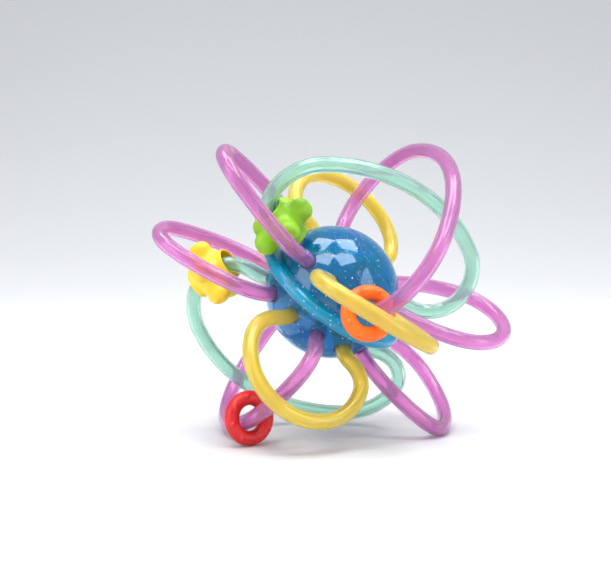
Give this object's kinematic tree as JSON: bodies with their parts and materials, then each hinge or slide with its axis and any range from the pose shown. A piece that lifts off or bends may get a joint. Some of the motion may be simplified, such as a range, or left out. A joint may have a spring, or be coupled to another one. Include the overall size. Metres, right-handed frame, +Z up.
{
  "type": "rattle ball teether",
  "caption": "Blue glitter rattle ball with soft looping tubes in pink, yellow and mint, and loose star and ring beads threaded on them to teethe on.",
  "frame": {"origin": "centre of the bounding box's bottom face, on the surface the toy stands on", "axes": "+Z up, -Y towards the side with the two rings and the green star, +X to the right seen from that side"},
  "size_m": [0.1518, 0.134, 0.1234],
  "materials": {
    "blue_shell": "clear blue hard plastic with white glitter in it",
    "blue_ring": "clear blue hard plastic with white glitter in it",
    "core_plastic": "clear dark blue hard plastic",
    "pin_plastic": "moulded plastic",
    "rattle_plastic": "hard glossy plastic",
    "pink_tube": "soft clear tube, orchid pink",
    "mint_tube": "soft clear tube, mint green",
    "yellow_tube": "soft clear tube, yellow",
    "lime_rubber": "satin rubber, lime green",
    "yellow_rubber": "satin rubber, lemon yellow",
    "orange_rubber": "satin rubber, orange",
    "red_rubber": "satin rubber, red"
  },
  "bodies": {
    "toy": {"upper_shell": "blue_shell", "lower_shell": "blue_shell", "equator_ring": "blue_ring", "core_upper": "core_plastic", "core_lower": "core_plastic", "tube_pins_upper": "pin_plastic", "tube_pins_lower": "pin_plastic", "pink_loop_upper_left": "pink_tube", "pink_loop_lower_left": "pink_tube", "pink_loop_upper_right": "pink_tube", "pink_loop_lower_right": "pink_tube", "pink_arch_upper": "pink_tube", "pink_arch_lower": "pink_tube", "mint_arch_upper": "mint_tube", "mint_arch_lower": "mint_tube", "yellow_loop_upper_front": "yellow_tube", "yellow_loop_lower_front": "yellow_tube", "yellow_loop_upper_back": "yellow_tube", "yellow_loop_lower_back": "yellow_tube"},
    "green_star": {"green_star": "lime_rubber"},
    "yellow_star": {"yellow_star": "yellow_rubber"},
    "orange_ring": {"orange_ring": "orange_rubber"},
    "red_ring": {"red_ring": "red_rubber"},
    "rattle_beads": {"rattle_beads": "rattle_plastic"}
  },
  "joints": [
    {"name": "green_star_slide", "type": "hinge", "parent": "toy", "child": "green_star", "pos_m": [-0.01197, -0.0191, 0.09736], "axis": [0.0643, -0.8844, -0.4622], "range_deg": [-80, 0]},
    {"name": "yellow_star_slide", "type": "hinge", "parent": "toy", "child": "yellow_star", "pos_m": [-0.04301, 0.0031, 0.05908], "axis": [0.1067, 0.9065, 0.4086], "range_deg": [-27, 54]},
    {"name": "orange_ring_slide", "type": "hinge", "parent": "toy", "child": "orange_ring", "pos_m": [0.02459, -0.03472, 0.07555], "axis": [-0.7462, -0.3416, 0.5715], "range_deg": [-12, 24]},
    {"name": "red_ring_slide", "type": "hinge", "parent": "toy", "child": "red_ring", "pos_m": [-0.01629, 0.0052, 0.04189], "axis": [0.7614, 0.1765, -0.6238], "range_deg": [-20, 0]},
    {"name": "rattle_roll", "type": "hinge", "parent": "toy", "child": "rattle_beads", "pos_m": [-0.0009, -0.00054, 0.06071], "axis": [0.5793, -0.2459, 0.7771], "continuous": true}
  ]
}
